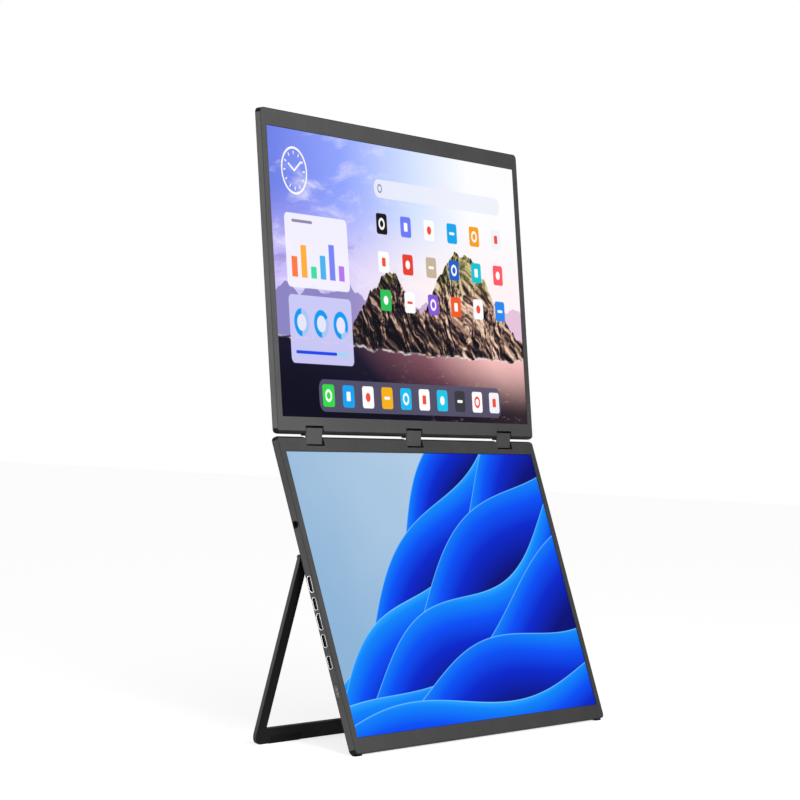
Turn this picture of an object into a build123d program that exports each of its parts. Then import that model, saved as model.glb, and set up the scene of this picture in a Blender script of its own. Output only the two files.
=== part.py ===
from build123d import *
import math
import os

# Portable monitor: two slim display panels, one above the other, joined by a double hinge,
# with a kickstand behind the lower panel. Millimetres, +Z up, and the screens face -Y.
# The origin is on the floor, under the middle of the whole object as it stands.
#
# Every piece is drawn flat and then placed by its plane. In a panel's flat frame x runs across,
# y runs from the hinge axis towards the far edge, and z points at the viewer.
# The lower panel hangs from its hinge axis, so its flat +x is the viewer's left.

# Display panels
display_width = 344.2
display_height = 193.6
side_bezel = 6.4
upper_hinge_bezel = 11.8
upper_far_bezel = 11.6
lower_hinge_bezel = 11.0
lower_far_bezel = 10.75
upper_thickness = 5.0
lower_thickness = 5.6
corner_radius = 3.5
rear_edge_radius = 0.9
window_clearance = 0.3

# Casing walls
cover_wall = 0.9
cover_floor = 0.6
hinge_wall = 0.7
bezel_thickness = 0.6

# Layers behind the window
layer_gap = 0.02
cell_thickness = 0.9
cell_margin = 1.5
spreader_thickness = 0.2
spreader_margin = 22.0

# Rest pose, in degrees
lower_lean = 19.15
link_lean = 0.0
upper_lean = 6.5
stand_opening = 32.8

# Double hinge
panel_gap = 1.5
hinge_inset = 45.2
block_width = 20.0
block_radius = 2.2
block_front = 2.3
block_end = 2.05
block_plate_thickness = 1.0
notch_side_clearance = 1.35
upper_notch_clearance = 1.25
lower_notch_clearance = 2.1
notch_ledge = 1.4
notch_ledge_clearance = 0.15
notch_wall = 0.8
shaft_radius = 1.0
shaft_clearance = 0.05
shaft_hole_clearance = 0.3
shaft_overrun = 0.8
knuckle_radius = 1.6
knuckle_width = 5.0
knuckle_gap = 0.2
leaf_thickness = 1.0
leaf_length = 14.0
clip_radius = 1.5
clip_thickness = 0.4
clip_gap = 0.1

# Screws that hold the hinge leaves
leaf_screw_spacing = 16.0
leaf_screw_place = 9.5
leaf_screw_head_radius = 1.3
leaf_screw_head_height = 0.5
leaf_screw_radius = 0.6
leaf_screw_bite = 0.4

# Casing screws
screw_side_inset = 13.5
screw_far_row = 5.5
screw_hinge_row = 2.6
screw_head_radius = 1.3
screw_head_height = 0.5
screw_radius = 0.8
screw_sink = 0.6
screw_clearance = 0.1
screw_grip = 2.2
boss_radius = 1.9
boss_height = 0.6
post_radius = 1.6
post_gap = 0.1

# Kickstand
stand_inset = 1.2
stand_bar = 10.8
stand_thickness = 2.4
stand_gap = 0.2
stand_corner_radius = 8.0
stand_inner_radius = 1.5
stand_knuckle_radius = 1.5
stand_cap = 0.7
pivot_height = 134.3
pin_radius = 0.8
pin_clearance = 0.05
pin_end_gap = 0.1
pin_hole_clearance = 0.3
bracket_length = 8.0
bracket_width = 7.0
bracket_height = 2.8
bracket_side_gap = 0.1

# Raised housing on the back of the lower panel, inside the folded kickstand
housing_gap = 0.6
housing_rise = 18.0
housing_corner_radius = 3.0
housing_edge_radius = 1.2

# Rubber feet
foot_length = 8.0
foot_inset = 2.0
foot_width = 2.8
foot_setback = 0.6
foot_recess = 0.5
foot_proud = 0.25
pad_length = 38.0
pad_inset = 19.0
pad_height = 5.5
pad_depth = 1.2
pad_proud = 0.25

# Sockets on the lower panel's left edge, each at a height above the panel's bottom edge
jack_height = 155.0
upper_hdmi_height = 114.5
upper_usb_height = 101.4
lower_hdmi_height = 89.2
middle_usb_height = 76.3
lower_usb_height = 61.9
usb_width = 8.94
usb_thickness = 3.16
usb_corner_radius = 1.5
usb_tongue_width = 6.7
hdmi_width = 11.2
hdmi_thickness = 3.2
hdmi_slant = 1.3
hdmi_tongue_width = 7.6
socket_level = -0.55
socket_depth = 7.3
socket_wall = 0.3
socket_back = 1.0
socket_setback = 0.1
socket_gap = 0.15
tongue_thickness = 0.7
tongue_setback = 1.0
jack_level = -0.5
jack_radius = 1.8
jack_nose_radius = 1.95
jack_nose_length = 4.4
jack_hole_clearance = 0.05
jack_body_length = 9.6
jack_body_width = 6.5
jack_body_low = -2.15
jack_body_high = 1.2
jack_end_wall = 1.2

# Rocker key on the same edge
rocker_height = 42.3
rocker_level = -0.4
rocker_length = 9.0
rocker_thickness = 2.2
rocker_proud = 0.3
rocker_slot_clearance = 0.25
rocker_flange_length = 11.0
rocker_flange_height = 2.6
rocker_flange_thickness = 0.5
rocker_flange_gap = 0.5
rocker_stem_width = 2.4
rocker_stem_length = 1.9
rocker_pin_radius = 0.4
rocker_pin_clearance = 0.05
rocker_pin_setback = 1.0
rocker_pin_bite = 0.2
rocker_pin_length = 3.4
switch_width = 3.0
switch_height = 3.0
switch_spacing = 6.8
switch_gap = 0.35
plunger_radius = 0.6
plunger_length = 0.85

# Boards, shield and speakers
board_thickness = 0.8
socket_board_margin = 8.0
socket_board_width = 8.0
main_board_width = 120.0
main_board_height = 60.0
standoff_height = 0.8
standoff_radius = 2.2
standoff_inset = 4.0
board_screw_radius = 0.8
board_screw_head_radius = 1.5
board_screw_head_height = 0.6
shield_width = 64.0
shield_height = 36.0
shield_thickness = 1.6
speaker_width = 32.0
speaker_height = 14.0
speaker_thickness = 3.0
speaker_side_inset = 23.5
speaker_end_inset = 16.0
slot_length = 8.0
slot_width = 1.0
slot_pitch = 3.0
slot_count = 8
driver_board_width = 160.0
driver_board_height = 18.0
driver_board_gap = 8.0
driver_chip_size = 9.0
driver_chip_height = 0.9
driver_chip_pitch = 40.0
driver_chip_count = 3

# Worked out from the sizes above
panel_width = display_width + 2 * side_bezel
edge_x = panel_width / 2
hinge_spacing = edge_x - hinge_inset
notch_width = block_width + 2 * notch_side_clearance
ledge_top = -(block_end + notch_ledge_clearance)
axis_distance = panel_gap + (upper_thickness + lower_thickness) / 2
knuckle_inner = notch_width / 2 + notch_wall + knuckle_gap
knuckle_outer = knuckle_inner + knuckle_width
housing_depth = stand_gap + 2 * stand_knuckle_radius
stand_half_width = edge_x - stand_inset
housing_half_width = stand_half_width - stand_bar - housing_gap
socket_mouth = edge_x - socket_setback
socket_end = socket_mouth - socket_depth
sides = {"left": -1, "centre": 0, "right": 1}


class Panel:
    """Levels and places of one display panel, in its flat frame."""

    def __init__(self, name, thickness, hinge_bezel, far_bezel, notch_clearance):
        self.name = name
        self.thickness = thickness
        self.front = thickness / 2
        self.back = -thickness / 2
        self.seam = self.front - bezel_thickness
        self.floor = self.back + cover_floor
        self.height = hinge_bezel + display_height + far_bezel
        self.far_edge = self.height - thickness / 2
        self.centre = self.height / 2 - thickness / 2
        self.display_centre = hinge_bezel - thickness / 2 + display_height / 2
        self.cell_back = self.seam - layer_gap - cell_thickness
        self.boss_top = self.floor + boss_height
        self.notch_depth = block_end + notch_clearance


upper = Panel("upper", upper_thickness, upper_hinge_bezel, upper_far_bezel, upper_notch_clearance)
lower = Panel("lower", lower_thickness, lower_hinge_bezel, lower_far_bezel, lower_notch_clearance)

# Flat places on the lower panel
pivot_place = lower.far_edge - pivot_height
pivot_level = lower.back - stand_gap - stand_knuckle_radius
housing_back = lower.back - housing_depth
housing_floor = housing_back + cover_floor
jack_place = lower.far_edge - jack_height
rocker_place = lower.far_edge - rocker_height


# The planes of the four moving groups at rest

def leaning_plane(origin, lean, flipped):
    """Plane of a panel that leans back by an angle. Flipped, its y runs downwards."""
    angle = math.radians(lean)
    x_dir = (-1, 0, 0) if flipped else (1, 0, 0)
    return Plane(origin=origin, x_dir=x_dir, z_dir=(0, -math.cos(angle), math.sin(angle)))


def floor_reach(plane, level):
    """Flat y at which a level of a hanging piece meets the floor."""
    return -(plane.origin.Z + level * plane.z_dir.Z) / plane.y_dir.Z


lean = math.radians(lower_lean)
foot_level = lower.back + foot_setback
lower_axis_z = (lower.far_edge + foot_proud) * math.cos(lean) - foot_level * math.sin(lean)
stand_lean = lower_lean - stand_opening
stand_front = stand_knuckle_radius
stand_back = stand_front - stand_thickness

# A first placing at y = 0 gives the depth of the object, which then sets its middle.
# Its front is the lower panel's bottom edge and its rear is the upper panel's rounded top edge.
trial_plane = leaning_plane((0, 0, lower_axis_z), lower_lean, True)
trial_link = leaning_plane(trial_plane.origin, link_lean, False)
trial_upper = leaning_plane(trial_link.from_local_coords((0, axis_distance, 0)), upper_lean, False)
rear_arc = (0, upper.far_edge - rear_edge_radius, upper.back + rear_edge_radius)
front_y = trial_plane.from_local_coords((0, lower.far_edge, lower.front)).Y
rear_y = trial_upper.from_local_coords(rear_arc).Y + rear_edge_radius
lower_axis_y = -(front_y + rear_y) / 2

lower_plane = leaning_plane((0, lower_axis_y, lower_axis_z), lower_lean, True)
pivot_point = lower_plane.from_local_coords((0, pivot_place, pivot_level))
stand_plane = leaning_plane(pivot_point, stand_lean, True)
stand_length = floor_reach(stand_plane, stand_front) - pad_proud
link_plane = leaning_plane(lower_plane.origin, link_lean, False)
upper_origin = link_plane.from_local_coords((0, axis_distance, 0))
upper_plane = leaning_plane(upper_origin, upper_lean, False)

housing_start = pivot_place - housing_rise
housing_end = pivot_place + stand_length - stand_bar - housing_gap
main_board_place = (housing_start + housing_end) / 2
speaker_place_x = housing_half_width - speaker_side_inset
speaker_place_y = housing_end - speaker_end_inset
driver_board_place = leaf_length + driver_board_gap + driver_board_height / 2


# Plain shapes in a flat frame

def slab(x, y, width, height, low, high, radius=0.0):
    """Rectangular slab between two levels, with rounded corners if a radius is given."""
    with BuildPart() as body:
        with BuildSketch(Plane.XY.offset(low)):
            with Locations((x, y)):
                if radius > 0:
                    RectangleRounded(width, height, radius)
                else:
                    Rectangle(width, height)
        extrude(amount=high - low)
    return body.part


def rod(start, end, y, z, radius):
    """Round bar along x."""
    with BuildPart() as body:
        with BuildSketch(Plane.YZ.offset(start)):
            with Locations((y, z)):
                Circle(radius)
        extrude(amount=end - start)
    return body.part


def post(x, y, low, high, radius):
    """Round bar along z."""
    with BuildPart() as body:
        with BuildSketch(Plane.XY.offset(low)):
            with Locations((x, y)):
                Circle(radius)
        extrude(amount=high - low)
    return body.part


def wedge(x, length, points):
    """Bar along x whose cross-section joins the given flat y and z points."""
    with BuildPart() as body:
        with BuildSketch(Plane.YZ.offset(x - length / 2)):
            with BuildLine():
                Polyline(*points, close=True)
            make_face()
        extrude(amount=length)
    return body.part


def gather(pieces):
    """Several separate solids as one part."""
    with BuildPart() as group:
        for piece in pieces:
            add(piece)
    return group.part


# Panel shells

def panel_slab(panel, low, high, inset, hinge_radius, edge_radius=0.0):
    """Panel outline between two levels. Its hinge edge is rounded about the hinge axis."""
    with BuildPart() as body:
        add(slab(0, panel.centre, panel_width - 2 * inset, panel.height - 2 * inset,
                 low, high, corner_radius - inset))
        if edge_radius > 0:
            fillet(body.faces().sort_by(Axis.Z)[0].edges(), edge_radius)
        with BuildSketch(Plane.YZ.offset(-edge_x)):
            Circle(hinge_radius)
            with Locations((panel.far_edge / 2, 0)):
                Rectangle(panel.far_edge, 2 * panel.thickness)
        extrude(amount=panel_width, mode=Mode.INTERSECT)
    return body.part


def notch_blocks(panel, margin):
    """Solids that fill the three hinge notches, grown by a margin. Behind, the floor keeps a ledge."""
    blocks = []
    for reach, low, high in ((panel.notch_depth + margin, ledge_top, panel.thickness),
                             (notch_ledge, -panel.thickness, ledge_top)):
        for side in sides.values():
            blocks.append(slab(side * hinge_spacing, (reach - panel.thickness) / 2,
                               notch_width + 2 * margin, reach + panel.thickness, low, high))
    return gather(blocks)


def screw_places(panel):
    """Flat places of the casing screws: one row along each long edge."""
    rows = (screw_hinge_row, panel.far_edge - screw_far_row)
    outer = edge_x - screw_side_inset
    columns = (-outer, -hinge_spacing / 2, hinge_spacing / 2, outer)
    return [(x, y) for y in rows for x in columns]


def leaf_screw_places():
    """Flat places of the screws through the hinge leaves."""
    return [(side * hinge_spacing + half * leaf_screw_spacing / 2, leaf_screw_place)
            for side in sides.values() for half in (-1, 1)]


def panel_cover(panel):
    """Rear shell of a panel: floor, side walls, notch walls and screw bosses."""
    cavity_radius = panel.thickness / 2 - hinge_wall
    with BuildPart() as cavity:
        add(panel_slab(panel, panel.floor, panel.seam, cover_wall, cavity_radius))
        add(notch_blocks(panel, notch_wall), mode=Mode.SUBTRACT)
    with BuildPart() as cover:
        add(panel_slab(panel, panel.back, panel.seam, 0, panel.thickness / 2, rear_edge_radius))
        add(cavity.part, mode=Mode.SUBTRACT)
        add(notch_blocks(panel, 0), mode=Mode.SUBTRACT)
        for x, y in screw_places(panel):
            add(post(x, y, panel.floor, panel.boss_top, boss_radius))
            add(post(x, y, panel.back, panel.back + screw_sink, screw_head_radius + screw_clearance),
                mode=Mode.SUBTRACT)
            add(post(x, y, panel.back, panel.boss_top, screw_radius + screw_clearance),
                mode=Mode.SUBTRACT)
        for x, y in leaf_screw_places():
            add(post(x, y, panel.floor - leaf_screw_bite, panel.floor, leaf_screw_radius),
                mode=Mode.SUBTRACT)
        for side in sides.values():
            x = side * hinge_spacing
            add(rod(x - knuckle_inner, x + knuckle_inner, 0, 0, shaft_radius + shaft_hole_clearance),
                mode=Mode.SUBTRACT)
    return cover.part


def panel_bezel(panel):
    """Front frame of a panel, with the screw posts on its back."""
    window_width = display_width + 2 * window_clearance
    window_height = display_height + 2 * window_clearance
    post_low = panel.boss_top + post_gap
    with BuildPart() as bezel:
        add(panel_slab(panel, panel.seam, panel.front, 0, panel.thickness / 2))
        add(slab(0, panel.display_centre, window_width, window_height, panel.seam, panel.front),
            mode=Mode.SUBTRACT)
        add(notch_blocks(panel, 0), mode=Mode.SUBTRACT)
        for x, y in screw_places(panel):
            add(post(x, y, post_low, panel.seam, post_radius))
            add(post(x, y, post_low, screw_tip(panel), screw_radius), mode=Mode.SUBTRACT)
    return bezel.part


def display_cell(panel):
    """Thin laminated display behind the window."""
    return slab(0, panel.display_centre, display_width + 2 * cell_margin,
                display_height + 2 * cell_margin, panel.cell_back, panel.cell_back + cell_thickness)


def heat_spreader(panel):
    """Metal foil sheet on the back of the display."""
    top = panel.cell_back - layer_gap
    return slab(0, panel.display_centre, display_width - 2 * spreader_margin,
                display_height - 2 * spreader_margin, top - spreader_thickness, top, corner_radius)


def screw_tip(panel):
    """Level that a casing screw reaches in its post."""
    return panel.boss_top + post_gap + screw_grip


def case_screws(panel):
    """Screws that clamp the rear shell to the bezel."""
    head_top = panel.back + screw_sink
    screws = []
    for x, y in screw_places(panel):
        with BuildPart() as screw:
            add(post(x, y, head_top - screw_head_height, head_top, screw_head_radius))
            add(post(x, y, head_top, screw_tip(panel), screw_radius))
        screws.append(screw.part)
    return gather(screws)


# Double hinge

def hinge_bracket(panel, x):
    """Leaf on the panel's floor with a knuckle on each side of its notch."""
    leaf_top = panel.floor + leaf_thickness
    reach = panel.notch_depth + notch_wall + knuckle_gap
    with BuildPart() as bracket:
        with BuildSketch(Plane.YZ.offset(x - knuckle_outer)):
            Circle(knuckle_radius)
            with Locations((leaf_length / 2, panel.floor + leaf_thickness / 2)):
                Rectangle(leaf_length, leaf_thickness)
        extrude(amount=2 * knuckle_outer)
        add(slab(x, (reach - panel.thickness) / 2, 2 * knuckle_inner, reach + panel.thickness,
                 panel.back, panel.front), mode=Mode.SUBTRACT)
        add(rod(x - knuckle_outer, x + knuckle_outer, 0, 0, shaft_radius + shaft_clearance),
            mode=Mode.SUBTRACT)
        for half in (-1, 1):
            add(post(x + half * leaf_screw_spacing / 2, leaf_screw_place, panel.floor, leaf_top,
                     leaf_screw_radius), mode=Mode.SUBTRACT)
    return bracket.part


def leaf_screws(panel):
    """Screws that hold the three hinge leaves on the panel's floor."""
    leaf_top = panel.floor + leaf_thickness
    screws = []
    for x, y in leaf_screw_places():
        with BuildPart() as screw:
            add(post(x, y, leaf_top, leaf_top + leaf_screw_head_height, leaf_screw_head_radius))
            add(post(x, y, panel.floor - leaf_screw_bite, leaf_top, leaf_screw_radius))
        screws.append(screw.part)
    return gather(screws)


def hinge_block(x):
    """Link between the two panels: a square front plate over two barrels, bored for both shafts."""
    with BuildPart() as block:
        with BuildSketch(Plane.YZ.offset(x - block_width / 2)):
            with Locations((axis_distance / 2, block_front - block_plate_thickness / 2)):
                Rectangle(axis_distance + 2 * block_end, block_plate_thickness)
            with Locations((0, 0), (axis_distance, 0)):
                Circle(block_radius)
            with Locations((axis_distance * 3 / 4, 0)):
                Rectangle(axis_distance / 2, 2 * block_radius)
            with Locations((0, 0), (axis_distance, 0)):
                Circle(shaft_radius, mode=Mode.SUBTRACT)
        extrude(amount=block_width)
    return block.part


def hinge_shaft(x, y):
    """Steel shaft through a block and the knuckles on its two sides."""
    half_length = knuckle_outer + shaft_overrun
    return rod(x - half_length, x + half_length, y, 0, shaft_radius)


def shaft_clips(y):
    """Retaining rings at both ends of the three shafts on one axis."""
    clips = []
    for side in sides.values():
        for end in (-1, 1):
            near = knuckle_outer + clip_gap
            far = near + clip_thickness
            start, stop = sorted((end * near, end * far))
            x = side * hinge_spacing
            with BuildPart() as clip:
                add(rod(x + start, x + stop, y, 0, clip_radius))
                add(rod(x + start, x + stop, y, 0, shaft_radius), mode=Mode.SUBTRACT)
            clips.append(clip.part)
    return gather(clips)


# Kickstand, flat in its own plane: y runs from the pivot to the foot

def rounded_tongue(half_width, length, low, high, radius):
    """Slab from the pivot line to a far end with two rounded corners."""
    with BuildPart() as body:
        with BuildSketch(Plane.XY.offset(low)) as outline:
            with Locations((0, length / 2)):
                Rectangle(2 * half_width, length)
            fillet(outline.vertices().group_by(Axis.Y)[-1], radius)
        extrude(amount=high - low)
    return body.part


def kickstand_frame():
    """U-shaped frame with a knuckle at the end of each arm."""
    inner_half = stand_half_width - stand_bar
    inner_length = stand_length - stand_bar
    with BuildPart() as frame:
        add(rounded_tongue(stand_half_width, stand_length, stand_back, stand_front,
                           stand_corner_radius))
        add(rounded_tongue(inner_half, inner_length, stand_back, stand_front, stand_inner_radius),
            mode=Mode.SUBTRACT)
        for side in (-1, 1):
            start, end = sorted((side * inner_half, side * stand_half_width))
            add(rod(start, end, 0, 0, stand_knuckle_radius))
            bore = sorted((side * inner_half, side * (stand_half_width - stand_cap)))
            add(rod(bore[0], bore[1], 0, 0, pin_radius + pin_clearance), mode=Mode.SUBTRACT)
            add(slab(side * pad_place(), stand_length - pad_height / 2, pad_length, pad_height,
                     stand_front - pad_depth, stand_front), mode=Mode.SUBTRACT)
    return frame.part


def pad_place():
    """Distance of a kickstand pad's middle from the middle of the stand."""
    return stand_half_width - pad_inset - pad_length / 2


def stand_pad(side):
    """Rubber pad let into the front of the bottom bar. It meets the floor in a flat face."""
    inner = stand_front - pad_depth
    top = stand_length - pad_height
    return wedge(side * pad_place(), pad_length, [
        (top, inner), (top, stand_front), (floor_reach(stand_plane, stand_front), stand_front),
        (floor_reach(stand_plane, inner), inner)])


def bracket_span():
    """Distances of a kickstand bracket's two ends from the middle of the panel."""
    outer = housing_half_width - cover_wall - bracket_side_gap
    return outer - bracket_length, outer


def stand_bracket(side):
    """Friction block in the housing that grips the kickstand pin."""
    near, far = bracket_span()
    start, end = sorted((side * near, side * far))
    with BuildPart() as bracket:
        add(slab((start + end) / 2, pivot_place, bracket_length, bracket_width,
                 housing_floor, housing_floor + bracket_height))
        add(rod(start, end, pivot_place, pivot_level, pin_radius), mode=Mode.SUBTRACT)
    return bracket.part


def stand_pin(side):
    """Pivot pin, fast in its bracket and running in the arm's knuckle."""
    far = stand_half_width - stand_cap - pin_end_gap
    start, end = sorted((side * bracket_span()[0], side * far))
    return rod(start, end, pivot_place, pivot_level, pin_radius)


# Sockets on the lower panel's left edge

def usb_outline(growth):
    """Rounded outline of a small reversible data socket."""
    with BuildSketch() as outline:
        RectangleRounded(usb_width + 2 * growth, usb_thickness + 2 * growth,
                         usb_corner_radius + growth)
    return outline.sketch


def hdmi_outline(growth):
    """Outline of a small video socket, with its two rear corners cut off."""
    with BuildSketch() as outline:
        Rectangle(hdmi_width + 2 * growth, hdmi_thickness + 2 * growth)
        chamfer(outline.vertices().group_by(Axis.Y)[0], hdmi_slant)
    return outline.sketch


def socket_prism(outline, height, start, end, growth):
    """Solid of a socket's outline along x, at a height above the panel's bottom edge."""
    with BuildPart() as body:
        with BuildSketch(Plane.YZ.offset(start)):
            with Locations((lower.far_edge - height, socket_level)):
                add(outline(growth))
        extrude(amount=end - start)
    return body.part


def socket(outline, height, tongue_width):
    """Metal socket shell with its contact tongue."""
    tongue_start = socket_end + socket_back
    tongue_length = socket_depth - socket_back - tongue_setback
    with BuildPart() as shell:
        add(socket_prism(outline, height, socket_end, socket_mouth, 0))
        add(socket_prism(outline, height, tongue_start, socket_mouth, -socket_wall),
            mode=Mode.SUBTRACT)
        add(slab(tongue_start + tongue_length / 2, lower.far_edge - height, tongue_length,
                 tongue_width, socket_level - tongue_thickness / 2,
                 socket_level + tongue_thickness / 2))
    return shell.part


def audio_jack():
    """Round audio socket: a nose in the edge and a low body behind it."""
    nose_start = socket_mouth - jack_nose_length
    body_start = nose_start - jack_body_length
    with BuildPart() as jack:
        add(rod(nose_start, socket_mouth, jack_place, jack_level, jack_nose_radius))
        add(slab((body_start + nose_start) / 2, jack_place, jack_body_length, jack_body_width,
                 jack_body_low, jack_body_high))
        add(rod(body_start + jack_end_wall, socket_mouth, jack_place, jack_level, jack_radius),
            mode=Mode.SUBTRACT)
    return jack.part


# Rocker key, its pin and its two switches

def rocker_faces():
    """Flat x of the rocker's flange back, flange front and outer face."""
    flange_front = edge_x - cover_wall - rocker_flange_gap
    return flange_front - rocker_flange_thickness, flange_front, edge_x + rocker_proud


def rocker_pivot():
    """Flat x of the rocker's pin."""
    return rocker_faces()[0] - rocker_pin_setback


def rocker_key():
    """Key through a slot in the edge, held by a flange and a stem on a pin."""
    flange_back, flange_front, outer = rocker_faces()
    stem_start = flange_back - rocker_stem_length
    low = rocker_level - rocker_thickness / 2
    high = rocker_level + rocker_thickness / 2
    with BuildPart() as rocker:
        add(slab((flange_front + outer) / 2, rocker_place, outer - flange_front, rocker_length,
                 low, high))
        add(slab((flange_back + flange_front) / 2, rocker_place, rocker_flange_thickness,
                 rocker_flange_length, rocker_level - rocker_flange_height / 2,
                 rocker_level + rocker_flange_height / 2))
        add(slab(flange_back - rocker_stem_length / 2, rocker_place, rocker_stem_length,
                 rocker_stem_width, low, high))
        add(post(rocker_pivot(), rocker_place, low, high, rocker_pin_radius + rocker_pin_clearance),
            mode=Mode.SUBTRACT)
    return rocker.part


def rocker_pin():
    """Pin on which the rocker turns, standing in the panel's floor."""
    low = lower.floor - rocker_pin_bite
    return post(rocker_pivot(), rocker_place, low, low + rocker_pin_length, rocker_pin_radius)


def rocker_switches():
    """Two small switches, one behind each end of the rocker."""
    plunger_end = rocker_faces()[0] - switch_gap
    case_end = plunger_end - plunger_length
    switches = []
    for half in (-1, 1):
        y = rocker_place + half * switch_spacing / 2
        with BuildPart() as switch:
            add(slab((socket_end + case_end) / 2, y, case_end - socket_end, switch_width,
                     lower.floor, lower.floor + switch_height))
            add(rod(case_end, plunger_end, y, rocker_level, plunger_radius))
        switches.append(switch.part)
    return gather(switches)


# Lower panel's own rear shell

def housing_block(low, high, inset):
    """Raised housing's outline between two levels."""
    return slab(0, (housing_start + housing_end) / 2, 2 * (housing_half_width - inset),
                housing_end - housing_start - 2 * inset, low, high, housing_corner_radius - inset)


def standoff_places():
    """Flat places of the main board's standoffs."""
    half_x = main_board_width / 2 - standoff_inset
    half_y = main_board_height / 2 - standoff_inset
    return [(i * half_x, main_board_place + j * half_y) for i in (-1, 1) for j in (-1, 1)]


def sockets():
    """Every socket on the edge but the round one: name, outline, height and tongue width."""
    return [
        ("mini_hdmi_port_top", hdmi_outline, upper_hdmi_height, hdmi_tongue_width),
        ("usb_c_port_top", usb_outline, upper_usb_height, usb_tongue_width),
        ("mini_hdmi_port_bottom", hdmi_outline, lower_hdmi_height, hdmi_tongue_width),
        ("usb_c_port_middle", usb_outline, middle_usb_height, usb_tongue_width),
        ("usb_c_port_bottom", usb_outline, lower_usb_height, usb_tongue_width)]


def edge_openings():
    """Solids to cut from the left edge for the sockets and the rocker."""
    wall_start = edge_x - 2 * cover_wall
    wall_end = edge_x + cover_wall
    jack_start = socket_mouth - jack_nose_length - jack_body_length
    cuts = [socket_prism(outline, height, wall_start, wall_end, socket_gap)
            for name, outline, height, tongue_width in sockets()]
    cuts.append(rod(jack_start, wall_end, jack_place, jack_level,
                    jack_nose_radius + jack_hole_clearance))
    cuts.append(slab((wall_start + wall_end) / 2, rocker_place, wall_end - wall_start,
                     rocker_length + 2 * rocker_slot_clearance,
                     rocker_level - rocker_thickness / 2 - rocker_slot_clearance,
                     rocker_level + rocker_thickness / 2 + rocker_slot_clearance))
    return gather(cuts)


def speaker_slots():
    """Rows of slots through the housing behind the two speakers."""
    with BuildPart() as slots:
        with BuildSketch(Plane.XY.offset(housing_back)):
            with Locations((-speaker_place_x, speaker_place_y), (speaker_place_x, speaker_place_y)):
                with GridLocations(slot_pitch, 0, slot_count, 1):
                    SlotOverall(slot_length, slot_width, rotation=90)
        extrude(amount=cover_floor)
    return slots.part


def lower_cover():
    """Rear shell of the lower panel, with its housing, edge openings and foot recesses."""
    with BuildPart() as housing:
        add(housing_block(housing_back, lower.back, 0))
        fillet(housing.faces().sort_by(Axis.Z)[0].edges(), housing_edge_radius)
    with BuildPart() as cover:
        add(panel_cover(lower))
        add(housing.part)
        add(housing_block(housing_floor, lower.floor, cover_wall), mode=Mode.SUBTRACT)
        add(edge_openings(), mode=Mode.SUBTRACT)
        add(speaker_slots(), mode=Mode.SUBTRACT)
        add(post(rocker_pivot(), rocker_place, lower.floor - rocker_pin_bite, lower.floor,
                 rocker_pin_radius), mode=Mode.SUBTRACT)
        for side in (-1, 1):
            start, end = sorted((side * bracket_span()[1], side * edge_x))
            add(rod(start, end, pivot_place, pivot_level, pin_radius + pin_hole_clearance),
                mode=Mode.SUBTRACT)
            add(slab(side * foot_place(), lower.far_edge, foot_length, 2 * foot_recess,
                     foot_level, foot_level + foot_width), mode=Mode.SUBTRACT)
        for x, y in standoff_places():
            add(post(x, y, housing_floor, housing_floor + standoff_height, standoff_radius))
            add(post(x, y, housing_floor, housing_floor + standoff_height, board_screw_radius),
                mode=Mode.SUBTRACT)
    return cover.part


def foot_place():
    """Distance of a rubber foot's middle from the middle of the panel."""
    return edge_x - foot_inset - foot_length / 2


def panel_foot(side):
    """Rubber foot in the bottom edge. It meets the floor in a flat face."""
    top = lower.far_edge - foot_recess
    front = foot_level + foot_width
    return wedge(side * foot_place(), foot_length, [
        (top, foot_level), (top, front), (floor_reach(lower_plane, front), front),
        (floor_reach(lower_plane, foot_level), foot_level)])


# Boards, shield and speakers

def socket_board():
    """Narrow board that carries the sockets."""
    start = lower.far_edge - upper_hdmi_height - socket_board_margin
    end = rocker_place + socket_board_margin
    return slab(socket_end - socket_board_width / 2, (start + end) / 2, socket_board_width,
                end - start, lower.floor, lower.floor + board_thickness)


def main_board():
    """Main board on its standoffs."""
    low = housing_floor + standoff_height
    with BuildPart() as board:
        add(slab(0, main_board_place, main_board_width, main_board_height, low,
                 low + board_thickness))
        for x, y in standoff_places():
            add(post(x, y, low, low + board_thickness, board_screw_radius), mode=Mode.SUBTRACT)
    return board.part


def board_screws():
    """Screws that hold the main board down."""
    board_top = housing_floor + standoff_height + board_thickness
    screws = []
    for x, y in standoff_places():
        with BuildPart() as screw:
            add(post(x, y, board_top, board_top + board_screw_head_height, board_screw_head_radius))
            add(post(x, y, housing_floor, board_top, board_screw_radius))
        screws.append(screw.part)
    return gather(screws)


def shield_can():
    """Metal can over the main board's chips."""
    low = housing_floor + standoff_height + board_thickness
    return slab(0, main_board_place, shield_width, shield_height, low, low + shield_thickness)


def speaker(side):
    """Flat speaker on the housing's floor."""
    return slab(side * speaker_place_x, speaker_place_y, speaker_width, speaker_height,
                housing_floor, housing_floor + speaker_thickness)


def driver_board():
    """Upper panel's driver board with its chips."""
    top = upper.floor + board_thickness
    with BuildPart() as board:
        add(slab(0, driver_board_place, driver_board_width, driver_board_height, upper.floor, top))
        for i in range(driver_chip_count):
            x = (i - (driver_chip_count - 1) / 2) * driver_chip_pitch
            add(slab(x, driver_board_place, driver_chip_size, driver_chip_size, top,
                     top + driver_chip_height))
    return board.part


# Writing the pieces

def place(piece, plane, label):
    """Put a piece that was drawn flat into its plane, name it and write it."""
    with BuildPart(plane) as placed:
        add(piece)
    placed.part.label = label
    export_step(placed.part, f"parts/{label}.step")


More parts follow.
